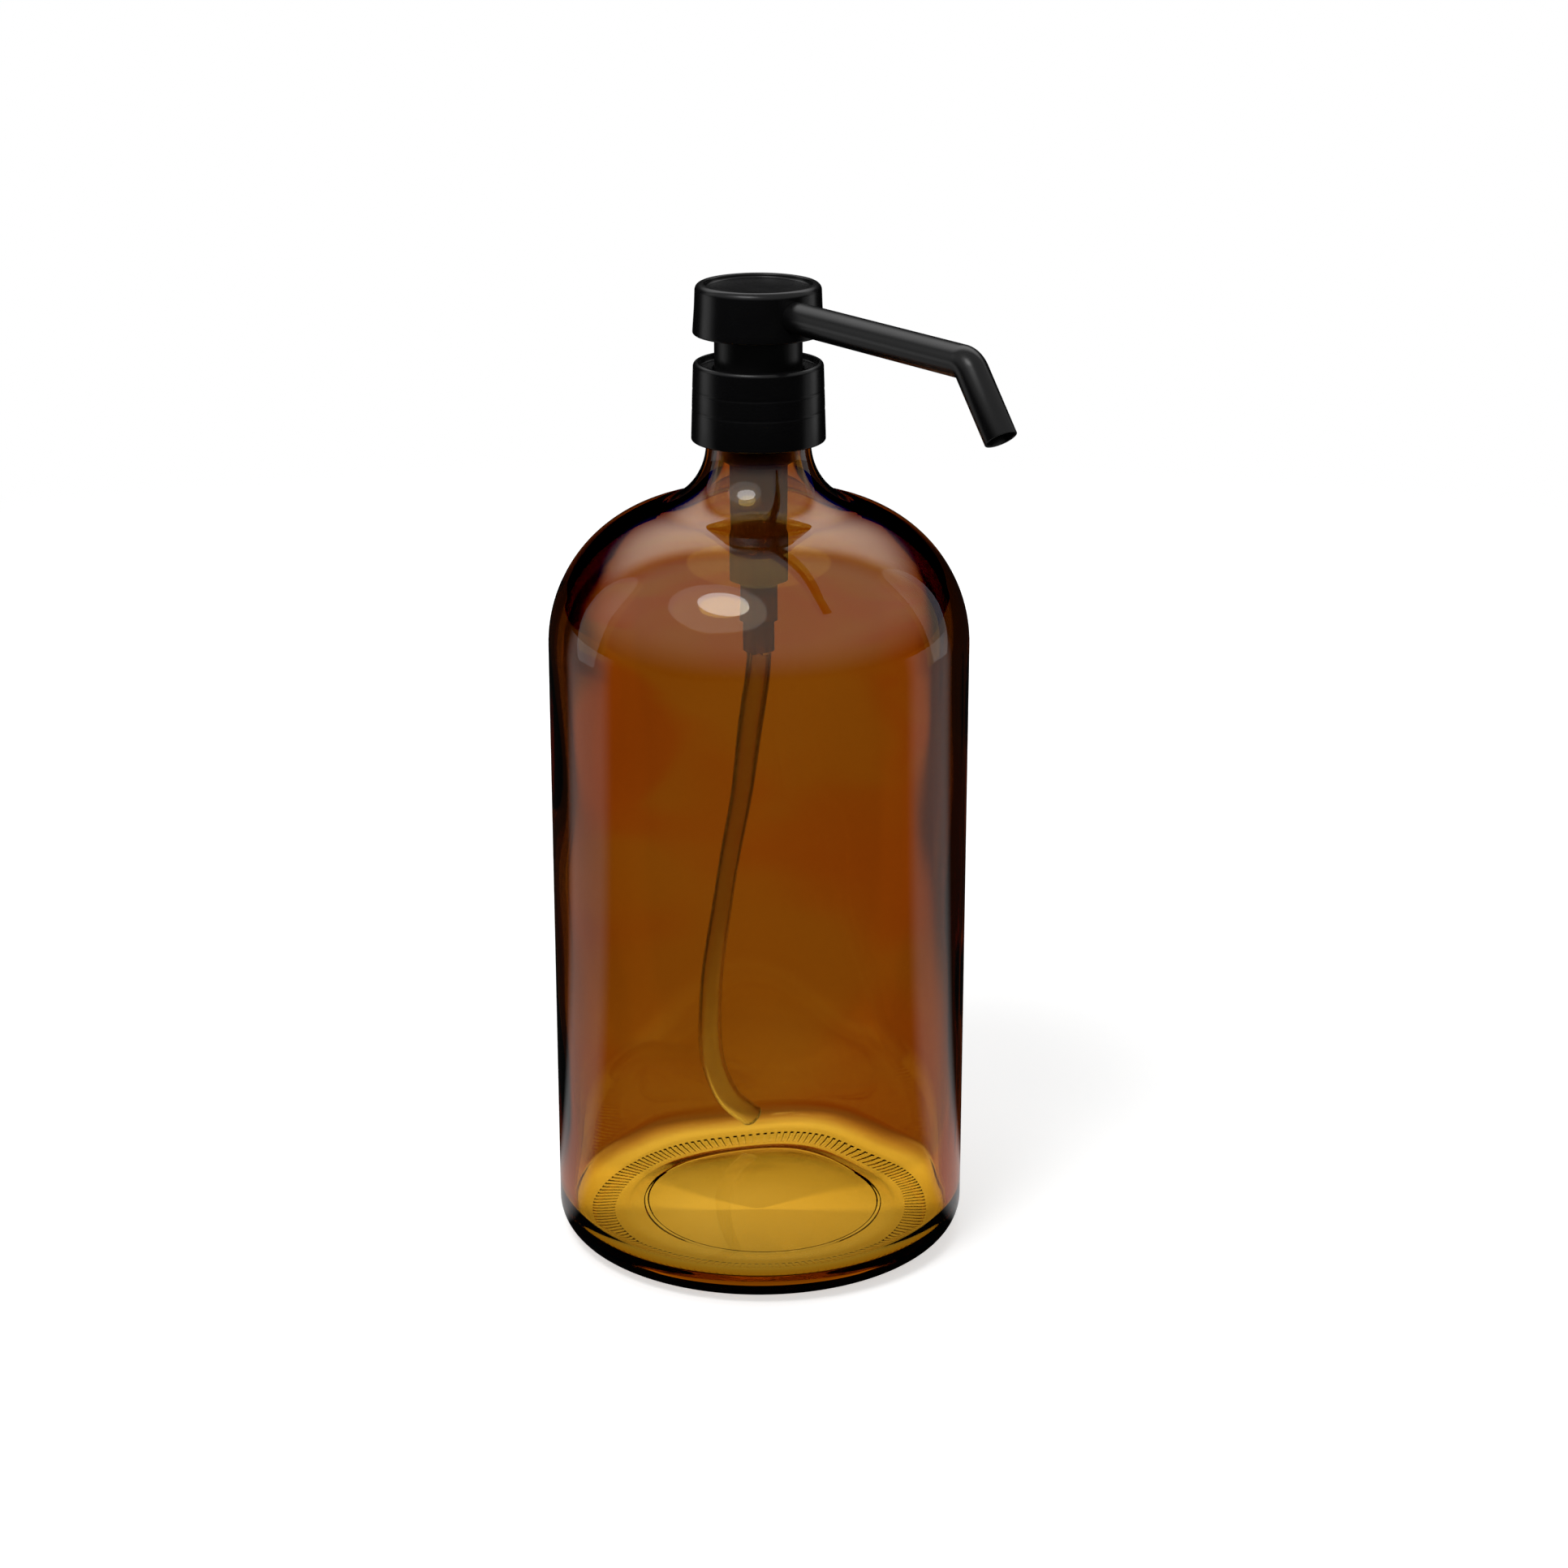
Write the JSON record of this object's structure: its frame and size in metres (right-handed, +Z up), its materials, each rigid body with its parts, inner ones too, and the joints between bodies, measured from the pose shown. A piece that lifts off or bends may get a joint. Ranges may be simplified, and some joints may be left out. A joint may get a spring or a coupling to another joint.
{
  "type": "soap pump dispenser",
  "caption": "Amber glass bottle with a round shoulder and a black screw-on lotion pump that has a round press head and a long bent swivel spout.",
  "frame": {"origin": "on the bottle's axis, in the plane of the flat ring that it stands on", "axes": "+Z up along the axis of the bottle and pump, +X along the spout at rest"},
  "size_m": [0.1357, 0.096, 0.2263],
  "materials": {
    "amber_glass": "clear amber container glass, fire polished, faint flow waves",
    "black_coat": "satin black coating on drawn steel sheet and tube",
    "black_plastic": "fine satin moulding",
    "natural_plastic": "milky unpigmented polypropylene",
    "clear_tube": "translucent extruded polyethylene",
    "seal": "soft white seal",
    "spring_steel": "drawn stainless wire",
    "ball_steel": "polished stainless ball"
  },
  "bodies": {
    "bottle": {"glass_bottle": "amber_glass"},
    "pump_unit": {"pump_housing": "natural_plastic", "neck_gasket": "seal", "stem_guide": "natural_plastic", "stem_wiper": "seal", "valve_cage": "natural_plastic", "dip_tube": "clear_tube", "return_spring": "spring_steel"},
    "collar": {"collar_shell": "black_coat", "collar_liner": "black_plastic"},
    "plunger": {"piston": "seal"},
    "head": {"stem": "natural_plastic", "stem_plug": "natural_plastic", "head_core": "black_plastic", "head_shell": "black_coat", "spout_tube": "black_coat"},
    "inlet_valve": {"inlet_ball": "ball_steel"},
    "outlet_valve": {"outlet_ball": "ball_steel"}
  },
  "joints": [
    {"name": "collar_turn", "type": "hinge", "parent": "pump_unit", "child": "collar", "pos_m": [0, 0, 0.2], "axis": [0, 0, 1], "range_deg": [0, 360]},
    {"name": "pump_lift", "type": "slide", "parent": "bottle", "child": "pump_unit", "axis": [0, 0, 1], "range_m": [0, 0.00423]},
    {"name": "pump_stroke", "type": "slide", "parent": "pump_unit", "child": "plunger", "axis": [0, 0, -1], "range_m": [0, 0.006], "stiffness_N_per_m": 600, "springref_m": -0.008, "deforming": ["return_spring"]},
    {"name": "head_swivel", "type": "hinge", "parent": "plunger", "child": "head", "pos_m": [0, 0, 0.2], "axis": [0, 0, 1], "continuous": true},
    {"name": "inlet_ball_lift", "type": "slide", "parent": "pump_unit", "child": "inlet_valve", "axis": [0, 0, 1], "range_m": [0, 0.0014]},
    {"name": "outlet_ball_lift", "type": "slide", "parent": "head", "child": "outlet_valve", "axis": [0, 0, 1], "range_m": [0, 0.0013]}
  ],
  "couplings": [
    {"joint": "collar_turn", "follows": "pump_lift", "rad_per_m": 1485.4}
  ]
}
